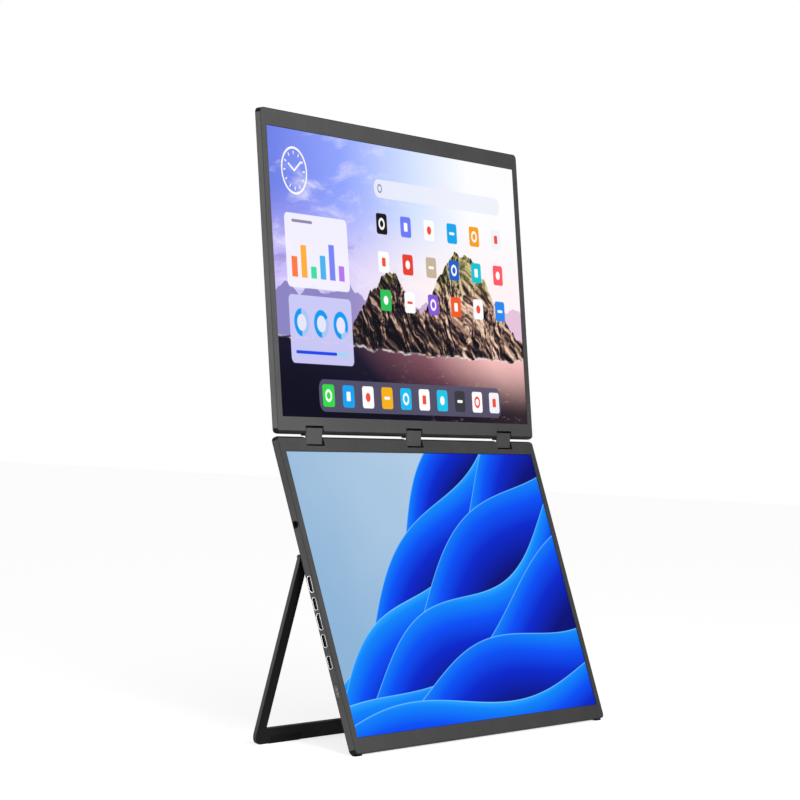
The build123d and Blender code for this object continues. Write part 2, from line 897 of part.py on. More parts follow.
def write_panel(panel, plane, cover):
    """Pieces that both panels have."""
    place(cover, plane, f"{panel.name}_rear_cover")
    place(panel_bezel(panel), plane, f"{panel.name}_bezel")
    place(display_cell(panel), plane, f"{panel.name}_display")
    place(heat_spreader(panel), plane, f"{panel.name}_heat_spreader")
    place(case_screws(panel), plane, f"{panel.name}_case_screws")
    place(leaf_screws(panel), plane, f"{panel.name}_leaf_screws")
    for name, side in sides.items():
        x = side * hinge_spacing * plane.x_dir.X
        place(hinge_bracket(panel, x), plane, f"{panel.name}_hinge_bracket_{name}")


os.makedirs("parts", exist_ok=True)

write_panel(upper, upper_plane, panel_cover(upper))
write_panel(lower, lower_plane, lower_cover())
place(driver_board(), upper_plane, "upper_driver_board")
place(main_board(), lower_plane, "main_board")
place(board_screws(), lower_plane, "board_screws")
place(shield_can(), lower_plane, "shield_can")
place(socket_board(), lower_plane, "socket_board")
place(audio_jack(), lower_plane, "audio_jack")
place(rocker_key(), lower_plane, "rocker_key")
place(rocker_pin(), lower_plane, "rocker_pin")
place(rocker_switches(), lower_plane, "rocker_switches")
for label, outline, height, tongue_width in sockets():
    place(socket(outline, height, tongue_width), lower_plane, label)

for name, side in sides.items():
    place(hinge_block(side * hinge_spacing), link_plane, f"hinge_block_{name}")
    place(hinge_shaft(side * hinge_spacing, 0), link_plane, f"lower_hinge_shaft_{name}")
    place(hinge_shaft(side * hinge_spacing, axis_distance), link_plane, f"upper_hinge_shaft_{name}")
place(shaft_clips(0), link_plane, "lower_shaft_clips")
place(shaft_clips(axis_distance), link_plane, "upper_shaft_clips")

place(kickstand_frame(), stand_plane, "kickstand_frame")
for name, side in (("left", 1), ("right", -1)):
    place(stand_pad(side), stand_plane, f"stand_pad_{name}")
    place(stand_bracket(side), lower_plane, f"stand_bracket_{name}")
    place(stand_pin(side), lower_plane, f"stand_pin_{name}")
    place(panel_foot(side), lower_plane, f"panel_foot_{name}")
    place(speaker(side), lower_plane, f"speaker_{name}")

print("lower hinge axis", lower_plane.origin)
print("upper hinge axis", upper_plane.origin)
print("kickstand pivot", stand_plane.origin)
print("kickstand length", stand_length)
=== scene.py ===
import bpy
import math
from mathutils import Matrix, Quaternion, Vector

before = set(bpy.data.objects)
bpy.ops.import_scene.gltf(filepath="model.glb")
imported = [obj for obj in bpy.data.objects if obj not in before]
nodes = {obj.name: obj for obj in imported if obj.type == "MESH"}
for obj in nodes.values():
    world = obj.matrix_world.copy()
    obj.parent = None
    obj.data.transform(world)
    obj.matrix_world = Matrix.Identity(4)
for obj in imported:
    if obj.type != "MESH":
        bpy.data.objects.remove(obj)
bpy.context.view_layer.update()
mm = 0.001

# Facts of the part, in millimetres and degrees

display_width = 344.2
display_height = 193.6
edge_x = 178.5
hinge_spacing = 133.3
notch_half_width = 11.35
block_plate_back = 1.3
jack_place = 57.55
jack_collar_radius = 2.6
rocker_place = 170.25
key_mark_pitch = 2.8
corner_width = 3.2
wall_skin = 0.06
socket_rim = 0.4


class Panel:
    """Where one display panel lies: its hinge axis, its lean, its display's middle and its far edge."""

    def __init__(self, name, axis, lean, centre, far_edge, notch_depth):
        self.name = name
        self.axis = axis
        self.angle = math.radians(lean)
        self.centre = centre
        self.far_edge = far_edge
        self.notch_depth = notch_depth
        self.turned = name == "lower"


upper = Panel("upper", (22.8503, 208.546), 6.5, 106.1, 214.5, 3.3)
lower = Panel("lower", (22.8503, 201.746), 19.15, 105.0, 212.55, 4.15)


# Node graphs written as short expressions

class Wire:
    """One output of a node, which arithmetic turns into more nodes."""

    def __init__(self, graph, socket):
        self.graph = graph
        self.socket = socket

    def __add__(self, other):
        return self.graph.math("ADD", self, other)

    def __sub__(self, other):
        return self.graph.math("SUBTRACT", self, other)

    def __rsub__(self, other):
        return self.graph.math("SUBTRACT", other, self)

    def __mul__(self, other):
        return self.graph.math("MULTIPLY", self, other)

    def __rmul__(self, other):
        return self.graph.math("MULTIPLY", other, self)

    def __truediv__(self, other):
        return self.graph.math("DIVIDE", self, other)


class Graph:
    """The node tree of one material, with its shader and its coordinates."""

    def __init__(self, name):
        self.material = bpy.data.materials.new(name)
        self.material.use_nodes = True
        self.tree = self.material.node_tree
        self.shader = self.tree.nodes["Principled BSDF"]
        place = self.new("ShaderNodeTexCoord")
        self.place = Wire(self, place.outputs["Object"])
        split = self.new("ShaderNodeSeparateXYZ")
        self.feed(split.inputs[0], self.place)
        self.x, self.y, self.z = (Wire(self, out) for out in split.outputs)

    def new(self, kind, **settings):
        node = self.tree.nodes.new(kind)
        for key, value in settings.items():
            setattr(node, key, value)
        return node

    def feed(self, socket, value):
        if isinstance(value, Wire):
            self.tree.links.new(value.socket, socket)
        else:
            socket.default_value = value

    def set(self, **values):
        """Sets or links the shader's own sockets."""
        for key, value in values.items():
            self.feed(self.shader.inputs[key.replace("_", " ")], value)

    def math(self, operation, *values, clamp=False):
        node = self.new("ShaderNodeMath", operation=operation, use_clamp=clamp)
        for socket, value in zip(node.inputs, values):
            self.feed(socket, value)
        return Wire(self, node.outputs[0])

    def vector(self, x=0.0, y=0.0, z=0.0):
        node = self.new("ShaderNodeCombineXYZ")
        for socket, value in zip(node.inputs, (x, y, z)):
            self.feed(socket, value)
        return Wire(self, node.outputs[0])

    def scaled(self, vector, factors):
        node = self.new("ShaderNodeVectorMath", operation="MULTIPLY")
        self.feed(node.inputs[0], vector)
        node.inputs[1].default_value = factors
        return Wire(self, node.outputs[0])

    def length(self, x, y):
        node = self.new("ShaderNodeVectorMath", operation="LENGTH")
        self.feed(node.inputs[0], self.vector(x, y))
        return Wire(self, node.outputs["Value"])

    def span(self, value, low, high, out_low=0.0, out_high=1.0, smooth=True):
        """value from low to high, taken to out_low to out_high and held there."""
        node = self.new("ShaderNodeMapRange", clamp=True)
        if smooth:
            node.interpolation_type = "SMOOTHSTEP"
        for socket, given in zip(node.inputs, (value, low, high, out_low, out_high)):
            self.feed(socket, given)
        return Wire(self, node.outputs[0])

    def noise(self, vector, scale, detail=2.0, rough=0.5, warp=0.0):
        node = self.new("ShaderNodeTexNoise")
        self.feed(node.inputs["Vector"], vector)
        for key, value in (("Scale", scale), ("Detail", detail), ("Roughness", rough), ("Distortion", warp)):
            node.inputs[key].default_value = value
        return Wire(self, node.outputs["Fac"])

    def cells(self, vector, scale, output="Distance"):
        node = self.new("ShaderNodeTexVoronoi")
        self.feed(node.inputs["Vector"], vector)
        node.inputs["Scale"].default_value = scale
        return Wire(self, node.outputs[output])

    def mix(self, first, second, share):
        node = self.new("ShaderNodeMix", data_type="RGBA")
        self.feed(node.inputs[0], share)
        self.feed(node.inputs[6], first)
        self.feed(node.inputs[7], second)
        return Wire(self, node.outputs[2])

    def ramp(self, value, stops, steps=False):
        node = self.new("ShaderNodeValToRGB")
        if steps:
            node.color_ramp.interpolation = "CONSTANT"
        elements = node.color_ramp.elements
        while len(elements) < len(stops):
            elements.new(1.0)
        for element, (position, colour) in zip(elements, stops):
            element.position = position
            element.color = colour
        self.feed(node.inputs[0], value)
        return Wire(self, node.outputs[0])

    def bump(self, height, distance, strength=1.0):
        node = self.new("ShaderNodeBump")
        node.inputs["Strength"].default_value = strength
        node.inputs["Distance"].default_value = distance
        self.feed(node.inputs["Height"], height)
        self.feed(self.shader.inputs["Normal"], Wire(self, node.outputs[0]))


def rgb(code):
    """Linear colour of a six-digit screen colour."""
    parts = [int(code[i:i + 2], 16) / 255 for i in (0, 2, 4)]
    return (*[p / 12.92 if p <= 0.04045 else ((p + 0.055) / 1.055) ** 2.4 for p in parts], 1.0)


def grey(level):
    """Linear grey with a trace of blue."""
    return (level, level, level * 1.01, 1.0)


def scaled_colour(colour, factor):
    """A colour made darker or paler by a factor."""
    return (*[c * factor for c in colour[:3]], 1.0)


# Plain shapes for the pictures: each gives 1 inside and 0 outside

edge_softness = 0.35
bell_base = 2.718


def inside(graph, distance):
    """1 where a distance is below zero, with a soft edge."""
    return graph.math("MULTIPLY_ADD", distance, -1 / edge_softness, 0.5, clamp=True)


def box_shape(graph, u, v, half_width, half_height, radius):
    """A box with round corners."""
    across = graph.math("MAXIMUM", graph.math("ABSOLUTE", u) - (half_width - radius), 0.0)
    along = graph.math("MAXIMUM", graph.math("ABSOLUTE", v) - (half_height - radius), 0.0)
    return inside(graph, graph.length(across, along) - radius)


def disc_shape(graph, u, v, radius):
    return inside(graph, graph.length(u, v) - radius)


def ring_shape(graph, u, v, radius, half_band):
    return inside(graph, graph.math("ABSOLUTE", graph.length(u, v) - radius) - half_band)


def hand_shape(graph, u, v, angle, length, half_width):
    """A clock hand from the middle, angle degrees clockwise from upright."""
    turn = math.radians(angle)
    across = u * math.cos(turn) - v * math.sin(turn)
    along = u * math.sin(turn) + v * math.cos(turn)
    return box_shape(graph, across, along - length / 2, half_width, length / 2 + half_width, half_width)


def row_of(graph, value, first, pitch, count):
    """Number of the nearest place in a row, and the distance from it."""
    number = graph.math("ROUND", (value - first) / pitch)
    number = graph.math("MINIMUM", graph.math("MAXIMUM", number, 0.0), count - 1.0)
    return number, value - first - number * pitch


# Screen pictures: generic designs in the colours of a lit display

def flat_place(graph, panel):
    """Millimetres across a panel, away from its hinge axis, and towards the viewer."""
    sine, cosine = math.sin(panel.angle), math.cos(panel.angle)
    back = graph.y / mm - panel.axis[0]
    height = graph.z / mm - panel.axis[1]
    along = back * sine + height * cosine
    level = height * sine - back * cosine
    return graph.x / mm, along * (-1.0 if panel.turned else 1.0), level


def screen_place(graph, panel):
    """Millimetres right of and above the middle of a display."""
    across, along, level = flat_place(graph, panel)
    return across, (panel.centre - along) if panel.turned else (along - panel.centre)


def far_hills(graph, u, v, picture):
    """A pale ridge on the skyline."""
    crest = graph.noise(graph.vector(u, 3.0), 0.03, 3.0, 0.45) * 46 - 34
    haze = graph.mix(rgb("8d86c4"), rgb("e6c4dc"), graph.span(u, -120, 120))
    return graph.mix(picture, haze, inside(graph, (v - crest) * 0.6))


def bell(graph, value):
    """A bell curve, 1 at zero."""
    return graph.math("POWER", bell_base, graph.math("POWER", value, 2.0) * -1.0)


def headland(graph, u, v, picture):
    """A long stony headland with two summits, lit from the right."""
    first = bell(graph, (u + 22) / 46)
    second = bell(graph, (u - 84) / 62)
    ragged = graph.noise(graph.vector(u, 9.0), 0.07, 7.0, 0.55) * 24 - 12
    crest = graph.math("SMOOTH_MAX", first * 52, second * 72, 14.0) - 46 + ragged
    bent = graph.noise(graph.vector(u, v, 6.0), 0.02, 3.0, 0.5) * 60
    seam = u * 0.9 + v * 0.4 + bent
    layer = v * 0.62 - bent * 0.4
    here = graph.noise(graph.vector(seam, layer), 0.062, 8.0, 0.62)
    beside = graph.noise(graph.vector(seam + 2.2, layer + 1.2), 0.062, 8.0, 0.62)
    relief = here - beside
    light = graph.span(relief, -0.11, 0.11, smooth=False) + graph.span(u, -60, 150, -0.16, 0.16)
    light = light - graph.span(v, -10, -48, 0.0, 0.2)
    stone = graph.ramp(light, [(0.12, rgb("0b0a10")), (0.36, rgb("32262a")), (0.5, rgb("6a5148")),
                               (0.64, rgb("b08c78")), (0.86, rgb("f6d5bd"))])
    grass = graph.ramp(light, [(0.15, rgb("15140f")), (0.42, rgb("45422a")), (0.62, rgb("8a8253")),
                               (0.86, rgb("d9c691"))])
    patch = graph.noise(graph.vector(u, v, 2.0), 0.07, 5.0, 0.6) * 34
    stone = graph.mix(stone, grass, graph.span(v + patch, 6, 30))
    return graph.mix(picture, stone, inside(graph, v - crest))


def lake(graph, u, v, picture):
    """Dark water on the left that takes the evening colour on the right."""
    shore = graph.noise(graph.vector(u, 21.0), 0.05, 3.0, 0.5) * 12 - 50 - graph.span(u, -170, 40) * 6
    ripple = graph.noise(graph.vector(u * 0.25, v, 2.0), 0.35, 5.0, 0.6)
    across = graph.span(u, -150, 172, smooth=False) + graph.span(v, -97, -40) * 0.18
    water = graph.ramp(across, [(0.0, rgb("090a20")), (0.4, rgb("1c1830")), (0.7, rgb("8a5764")),
                                (1.0, rgb("fbc4c0"))])
    water = graph.mix(water, rgb("07061a"), graph.span(v, -44, -92, 0.0, 0.97))
    water = graph.mix(water, rgb("c79aa8"), graph.span(ripple, 0.56, 0.78) * graph.span(u, -90, 150) * 0.55)
    shine = graph.span(graph.math("ABSOLUTE", v - shore), 1.5, 0.0) * graph.span(ripple, 0.42, 0.6)
    picture = graph.mix(picture, water, inside(graph, v - shore))
    return graph.mix(picture, rgb("f2e6ea"), shine * 0.8)


def sky(graph, u, v):
    """Evening sky, violet on the left and clear white on the right, with thin cloud."""
    picture = graph.ramp(graph.span(u, -172, 100, smooth=False),
                         [(0.0, rgb("6f80e8")), (0.35, rgb("93a6ff")),
                          (0.7, rgb("d3e2ff")), (1.0, rgb("fdfdff"))])
    low = graph.mix(rgb("cdbffb"), rgb("fff4f6"), graph.span(u, -150, 40))
    picture = graph.mix(picture, low, graph.span(v, 62, -6))
    cloud = graph.noise(graph.vector(u * 0.35 + v * 0.12, v * 1.1 - u * 0.1), 0.045, 6.0, 0.6, 0.4)
    streak = graph.span(cloud, 0.5, 0.72) * graph.span(u, 140, -60)
    picture = graph.mix(picture, rgb("ece8ff"), streak * 0.75)
    shade = graph.span(cloud, 0.46, 0.3) * graph.span(v, 90, 10) * graph.span(u, 60, -120)
    return graph.mix(picture, rgb("7a6fc0"), shade * 0.6)


def clock_dial(graph, u, v, picture):
    """A white dial with twelve ticks and two hands."""
    white = rgb("ffffff")
    hour = math.radians(30)
    picture = graph.mix(picture, white, ring_shape(graph, u, v, 15.5, 0.75))
    turn = graph.math("ARCTAN2", u, v) / hour
    off = graph.math("ABSOLUTE", turn - graph.math("ROUND", turn)) * hour
    from_middle = graph.length(u, v)
    band = inside(graph, graph.math("ABSOLUTE", from_middle - 12.2) - 1.2)
    picture = graph.mix(picture, white, inside(graph, off * from_middle - 0.5) * band)
    for angle, length in ((302, 8.0), (54, 11.0)):
        picture = graph.mix(picture, white, hand_shape(graph, u, v, angle, length, 0.7))
    return picture


def by_number(graph, number, codes):
    """The colour that belongs to a number, counted from zero."""
    stops = [(i / len(codes), rgb(code)) for i, code in enumerate(codes)]
    return graph.ramp((number + 0.5) / len(codes), stops, steps=True)


def chart_card(graph, u, v, picture):
    """A pale card with a row of coloured bars."""
    picture = graph.mix(picture, rgb("f7f4ff"), box_shape(graph, u, v, 40, 25, 4) * 0.93)
    number, off = row_of(graph, u, -30, 12, 6)
    height = graph.math("FRACT", number * 0.37 + 0.31) * 22 + 7
    bar = box_shape(graph, off, v + 18 - height / 2, 3.6, 14.5, 1.6)
    bar = bar * inside(graph, v + 18 - height) * inside(graph, -18 - v)
    tint = by_number(graph, number, ["ff7a45", "ffb03a", "3fe0a0", "4bb4f0", "7a86f5", "b478f0"])
    picture = graph.mix(picture, tint, bar)
    return graph.mix(picture, rgb("8f8aa8"), box_shape(graph, u + 18, v - 20, 13, 1.0, 1.0))


def gauge_card(graph, u, v, picture):
    """A lilac card with three gauges and a progress line."""
    picture = graph.mix(picture, rgb("cfcdfa"), box_shape(graph, u, v, 40, 23, 4) * 0.93)
    number, off = row_of(graph, u, -25, 25, 3)
    ring = ring_shape(graph, off, v - 4.5, 7.6, 1.9)
    picture = graph.mix(picture, rgb("ffffff"), disc_shape(graph, off, v - 4.5, 9.0) * 0.5)
    picture = graph.mix(picture, rgb("a8c8f2"), ring)
    angle = graph.math("ARCTAN2", off, v - 4.5) / math.tau + 0.5
    share = inside(graph, (angle - number * 0.17 - 0.5) * 40)
    picture = graph.mix(picture, rgb("0a9bf2"), ring * share)
    picture = graph.mix(picture, rgb("9ed8f5"), box_shape(graph, u, v + 15.5, 34, 1.1, 1.1))
    return graph.mix(picture, rgb("1c48e8"), box_shape(graph, u + 8, v + 15.5, 26, 1.1, 1.1))


pale_tiles = ("ffffff", "f4f4fb")


def tile_grid(graph, u, v, picture, columns, rows, pitch, half, tints):
    """Round-cornered tiles, each with one of four plain signs."""
    column, across = row_of(graph, u, 0.0, pitch[0], columns)
    row, along = row_of(graph, v, 0.0, -pitch[1], rows)
    number = column + row * columns
    tint = by_number(graph, number, tints)
    sign_tint = by_number(graph, number, ["f0503c" if code in pale_tiles else "ffffff" for code in tints])
    picture = graph.mix(picture, tint, box_shape(graph, across, along, half, half, half * 0.3))
    signs = [ring_shape(graph, across, along, half * 0.45, half * 0.12),
             box_shape(graph, across, along, half * 0.5, half * 0.13, half * 0.1),
             disc_shape(graph, across, along, half * 0.42),
             box_shape(graph, across, along, half * 0.34, half * 0.42, half * 0.12)]
    kind = graph.math("MODULO", number * 3 + row, 4.0)
    total = None
    for i, sign in enumerate(signs):
        chosen = graph.math("COMPARE", kind, float(i), 0.4) * sign
        total = chosen if total is None else total + chosen
    return graph.mix(picture, sign_tint, total)


def lit(graph, picture, u, v):
    """A display surface: dark glass with the picture's light, black round its rim."""
    rim = box_shape(graph, u, v, display_width / 2, display_height / 2, 0.2)
    picture = graph.mix(rgb("050506"), picture, rim)
    graph.set(Base_Color=rgb("060609"), Roughness=0.32, Specular_IOR_Level=0.004, Emission_Strength=1.0)
    graph.set(Emission_Color=picture)
    graph.bump(graph.noise(graph.place, 5200.0, 2.0, 0.6), 0.02 * mm, 0.15)
    return graph.material


def upper_picture():
    graph = Graph("display_upper_glass")
    u, v = screen_place(graph, upper)
    picture = sky(graph, u, v)
    picture = far_hills(graph, u, v, picture)
    picture = headland(graph, u, v, picture)
    picture = lake(graph, u, v, picture)
    picture = clock_dial(graph, u + 140, v - 69, picture)
    picture = chart_card(graph, u + 116, v - 15, picture)
    picture = gauge_card(graph, u + 116, v + 38, picture)
    search = box_shape(graph, u - 56, v - 66, 92, 6.5, 6.5)
    picture = graph.mix(picture, rgb("eef0fb"), search * 0.85)
    picture = graph.mix(picture, rgb("8b8fb0"), ring_shape(graph, u + 28, v - 66, 2.6, 0.6))
    picture = tile_grid(graph, u + 28, v - 41, picture, 6, 3, (33.5, 27.0), 7.4,
                        ["161618", "6d7cf5", "ffffff", "16a8ee", "f7a21c", "f4f4fb",
                         "ffffff", "e8402e", "c9b49c", "1e62c8", "17c4d2", "ff5a6a",
                         "2fc15c", "ffffff", "8a5ad8", "f25c2a", "ffffff", "2b8af0"])
    picture = graph.mix(picture, rgb("57546e"), box_shape(graph, u - 4, v + 82, 128, 11, 7) * 0.9)
    picture = tile_grid(graph, u + 112, v + 82, picture, 10, 1, (26.0, 20.0), 7.6,
                        ["35d94a", "14a4f4", "ffffff", "f7b21c", "17bdf5",
                         "ffffff", "1fc8ea", "3a3a40", "ffffff", "f4f4fb"])
    return lit(graph, picture, u, v)


def wave(graph, u, v, picture, turn, level, swing, stretch, phase, depth):
    """One rolling wave: everything below its crest line, bright at the crest and deep blue further down."""
    angle = math.radians(turn)
    along = u * math.cos(angle) + v * math.sin(angle)
    across = v * math.cos(angle) - u * math.sin(angle)
    below = graph.math("SINE", along / stretch + phase) * swing + level - across
    slope = graph.math("SINE", along / (stretch * 1.7) + phase * 1.3) * 0.08 + 0.08
    tint = graph.ramp(below / depth + slope,
                      [(0.0, rgb("5cc6ff")), (0.02, rgb("23a0ff")), (0.1, rgb("0584fa")),
                       (0.34, rgb("0050f6")), (0.6, rgb("0026cc")), (1.0, rgb("010a76"))])
    rim = graph.span(below, 1.1, 0.0) * 0.7
    tint = graph.mix(tint, rgb("7fd2ff"), rim)
    return graph.mix(picture, tint, inside(graph, -1.0 * below))


def lower_picture():
    graph = Graph("display_lower_glass")
    u, v = screen_place(graph, lower)
    haze = graph.noise(graph.vector(u, v), 0.01, 2.0, 0.5)
    picture = graph.mix(rgb("8bb3d6"), rgb("b3cde6"), graph.span(u * 0.5 + v * 0.4 + haze * 80, -90, 110))
    for shape in ((40, 56, 13, 42, 0.3, 46), (36, 42, 17, 55, 2.3, 52), (31, 24, 16, 47, 4.3, 60),
                  (27, 5, 19, 62, 0.8, 64), (22, -14, 16, 50, 2.9, 58), (17, -36, 18, 66, 5.1, 62),
                  (11, -58, 13, 54, 1.4, 58), (5, -80, 11, 60, 3.6, 50)):
        picture = wave(graph, u, v, picture, *shape)
    return lit(graph, picture, u, v)


# Finishes

def finish(name, colour, rough, metal=0.0, grain=0.25, depth=0.01, spread=0.12, smudge=0.06, level=0.5,
           marks=()):
    """Moulded or blasted surface: fine grain, slow colour drift and slight smudges in the gloss.

    Grain and depth are in millimetres. Each mark is a function that gives its place on the
    surface, with the colour it has there."""
    graph = Graph(name)
    fine = graph.noise(graph.place, 1 / (grain * mm), 3.0, 0.6)
    slow = graph.noise(graph.place, 22.0, 4.0, 0.55)
    drift = graph.span(fine * 0.6 + slow * 0.4, 0.36, 0.64)
    tone = graph.mix(scaled_colour(colour, 1 - spread), scaled_colour(colour, 1 + spread), drift)
    for shape, tint in marks:
        tone = graph.mix(tone, tint, shape(graph))
    graph.set(Base_Color=tone, Metallic=metal, Specular_IOR_Level=level)
    worn = graph.noise(graph.place, 60.0, 5.0, 0.6, 0.5)
    graph.set(Roughness=graph.span(worn * 0.7 + fine * 0.3, 0.3, 0.7, rough - smudge, rough + smudge))
    graph.bump(fine, depth * mm, 0.6)
    return graph


def crisp(graph, distance):
    """1 inside and 0 outside, with a very narrow edge."""
    return graph.math("MULTIPLY_ADD", distance, -12.0, 0.5, clamp=True)


def notch_wall_shade(panel):
    """Painted shade: the walls of a panel's three hinge notches, which the finishes paint near-black."""
    def shape(graph):
        across, along = flat_place(graph, panel)[:2]
        off = row_of(graph, across, -hinge_spacing, hinge_spacing, 3)[1]
        width = graph.math("ABSOLUTE", off) - (notch_half_width + wall_skin)
        return crisp(graph, width) * crisp(graph, along - (panel.notch_depth + wall_skin))
    return shape


def near_corner(graph, across):
    """Places close to a panel's left or right edge."""
    return crisp(graph, edge_x - corner_width - graph.math("ABSOLUTE", across))


def hinge_edge_shade(panel, reach, corner_reach):
    """Painted shade: a dark line along a panel's hinge edge, deeper at its two ends."""
    def shape(graph):
        across, along = flat_place(graph, panel)[:2]
        return crisp(graph, along - reach - near_corner(graph, across) * corner_reach)
    return shape


def far_edge_shade(panel, reach, corner_reach):
    """Painted shade: a dark line along a panel's far edge, deeper at its two corners."""
    def shape(graph):
        across, along = flat_place(graph, panel)[:2]
        return crisp(graph, panel.far_edge - reach - near_corner(graph, across) * corner_reach - along)
    return shape


def socket_inside_shade(graph):
    """Painted shade: the inside of the sockets, behind the bright rim of each shell, painted dark."""
    return crisp(graph, socket_rim - edge_x - graph.x / mm)


def jack_collar(graph):
    """Dark plastic collar round the audio socket."""
    across, along, level = flat_place(graph, lower)
    from_rim = graph.length(along - jack_place, level + 0.5) - jack_collar_radius
    return crisp(graph, from_rim) * crisp(graph, across + (edge_x - 1.2))


def shade_behind_plate(graph):
    """Painted shade: everything of a hinge block that lies behind its front plate, painted near-black."""
    return crisp(graph, upper.axis[0] - block_plate_back - graph.y / mm)


def lit_stand_sides(graph):
    """Faces that look to the left or right, given the stand's lit grey; the rest of the stand is painted
    near-black shade.
    """
    split = graph.new("ShaderNodeSeparateXYZ")
    graph.feed(split.inputs[0], Wire(graph, graph.new("ShaderNodeTexCoord").outputs["Normal"]))
    return graph.span(graph.math("ABSOLUTE", Wire(graph, split.outputs[0])), 0.55, 0.8)


def key_marks(graph):
    """Two small pale marks side by side on the rocker's outer face."""
    across, along, level = flat_place(graph, lower)
    off = row_of(graph, along, rocker_place - key_mark_pitch / 2, key_mark_pitch, 2)[1]
    return box_shape(graph, off, level - 0.1, 0.85, 0.7, 0.3) * crisp(graph, across + (edge_x + 0.2))


def brushed(name, colour, rough, factors):
    """Machined metal with fine lines along one axis."""
    graph = Graph(name)
    lines = graph.noise(graph.scaled(graph.place, factors), 1.0, 4.0, 0.6)
    slow = graph.noise(graph.place, 90.0, 3.0, 0.5)
    share = graph.span(lines * 0.7 + slow * 0.3, 0.3, 0.7)
    graph.set(Base_Color=graph.mix(scaled_colour(colour, 0.82), colour, share), Metallic=1.0)
    graph.set(Roughness=graph.span(lines, 0.3, 0.7, rough - 0.08, rough + 0.08))
    graph.bump(lines, 0.004 * mm, 0.5)
    return graph


def circuit_board():
    """Green board with copper-coloured tracks and pads."""
    graph = Graph("board_laminate")
    flat = graph.vector(graph.x, graph.z)
    tracks = graph.cells(flat, 420.0, "Position")
    line = graph.noise(graph.scaled(tracks, (1.0, 1.0, 0.0)), 600.0, 0.0)
    weave = graph.noise(graph.place, 2500.0, 2.0)
    base = graph.mix(rgb("0b3a24"), rgb("14573a"), graph.span(weave, 0.4, 0.6))
    base = graph.mix(base, rgb("1d7a50"), graph.span(line, 0.5, 0.56))
    pads = graph.cells(flat, 260.0)
    base = graph.mix(base, rgb("c9a55a"), graph.span(pads, 0.16, 0.12))
    graph.set(Base_Color=base, Roughness=graph.span(pads, 0.12, 0.18, 0.25, 0.45))
    graph.bump(pads, 0.02 * mm, 0.5)
    return graph


# Near-black of the painted shade in the hinge notches, along the panel edges, behind the hinge plates and
# inside the sockets, and of the ring round the audio socket.
black = grey(0.006)


def panel_finishes(panel, casing_tone, bezel_tone, strip_reach, corner_reach):
    """The rear shell's and the front frame's finish of one panel, with near-black painted shade in its hinge
    notches and along its hinge and far edges.
    """
    shell = [notch_wall_shade(panel), hinge_edge_shade(panel, strip_reach, 1.3), far_edge_shade(panel, 0.7, corner_reach)]
    if panel.turned:
        shell.append(jack_collar)
    front = [notch_wall_shade(panel), hinge_edge_shade(panel, strip_reach, 0.0), far_edge_shade(panel, 0.4, 0.0)]
    made[panel.name + "_rear_cover"] = finish(
        panel.name + "_casing_anodised", grey(casing_tone), 0.5, 0.0, 0.22, 0.008, level=0.1,
        marks=[(shape, black) for shape in shell]).material
    made[panel.name + "_bezel"] = finish(
        panel.name + "_bezel_moulded", grey(bezel_tone), 0.55, 0.0, 0.3, 0.012, level=0.1,
        marks=[(shape, black) for shape in front]).material


made = {
    # The hinge blocks' grey front plates, with painted shade behind them.
    "hinge": finish("hinge_paint", grey(0.051), 0.5, 0.0, 0.35, 0.012, level=0.1,
                    marks=[(shade_behind_plate, black)]).material,
    # Painted shade: the stand is near-black, with a lighter lit copy of its grey on the faces to the left
    # and right.
    "stand": finish("stand_painted_shade", grey(0.006), 0.5, 0.0, 0.22, 0.008, level=0.03,
                    marks=[(lit_stand_sides, grey(0.072))]).material,
    "rubber": finish("rubber_black", grey(0.0035), 0.8, 0.0, 0.5, 0.03, level=0.08).material,
    "foil": brushed("foil_bright", grey(0.55), 0.34, (90, 90, 2200)).material,
    "steel": brushed("steel_turned", grey(0.45), 0.32, (3000, 400, 400)).material,
    "screw_black": finish("screw_blackened", grey(0.03), 0.38, 0.7, 0.2, 0.006).material,
    "socket_metal": finish("socket_plated", grey(0.9), 0.3, 0.2, 0.15, 0.004,
                           marks=[(socket_inside_shade, black)]).material,
    "jack_plastic": finish("jack_black", grey(0.008), 0.4, 0.0, 0.3, 0.006, level=0.2).material,
    "board": circuit_board().material,
    "shield": brushed("shield_tinned", grey(0.6), 0.3, (120, 120, 900)).material,
    "speaker": finish("speaker_plastic", grey(0.03), 0.6).material,
    "rocker": finish("rocker_plastic", grey(0.09), 0.5, level=0.3, marks=[(key_marks, grey(0.19))]).material,
    "switch": finish("switch_plastic", grey(0.2), 0.5).material,
    "upper_display": upper_picture(),
    "lower_display": lower_picture(),
}
# Painted shade: the lower panel's casing and bezel are given darker tones than the upper panel's, though
# both panels have one finish.
panel_finishes(upper, 0.107, 0.053, -0.2, 2.6)
panel_finishes(lower, 0.066, 0.036, -1.3, 2.4)


def slot_of(name):
    """The record's material slot of a node, by the node's name."""
    if name.endswith("_display"):
        return "display"
    if name.endswith("_rear_cover"):
        return "casing"
    if name.endswith("_bezel"):
        return "bezel"
    if name.endswith("_heat_spreader"):
        return "foil"
    if name.startswith("hinge_block"):
        return "hinge"
    if name == "kickstand_frame":
        return "stand"
    if name.startswith(("stand_pad", "panel_foot")):
        return "rubber"
    if name.endswith("_case_screws"):
        return "screw_black"
    if "_port_" in name:
        return "socket_metal"
    if name == "audio_jack":
        return "jack_plastic"
    if name.endswith("_board"):
        return "board"
    if name == "shield_can":
        return "shield"
    if name.startswith("speaker"):
        return "speaker"
    if name == "rocker_key":
        return "rocker"
    if name == "rocker_switches":
        return "switch"
    return "steel"


for name, piece in nodes.items():
    piece.data.materials.clear()
    piece.data.materials.append(made.get(name) or made[slot_of(name)])


# Floor, light and camera

seen_rays = ("Is Camera Ray", "Is Glossy Ray", "Is Transmission Ray")


def plain(name, colour, rough):
    """A flat matte surface with a hardly visible grain."""
    graph = Graph(name)
    fine = graph.noise(graph.place, 90.0, 3.0)
    graph.set(Base_Color=graph.mix(colour, scaled_colour(colour, 0.97), fine), Roughness=rough)
    return graph


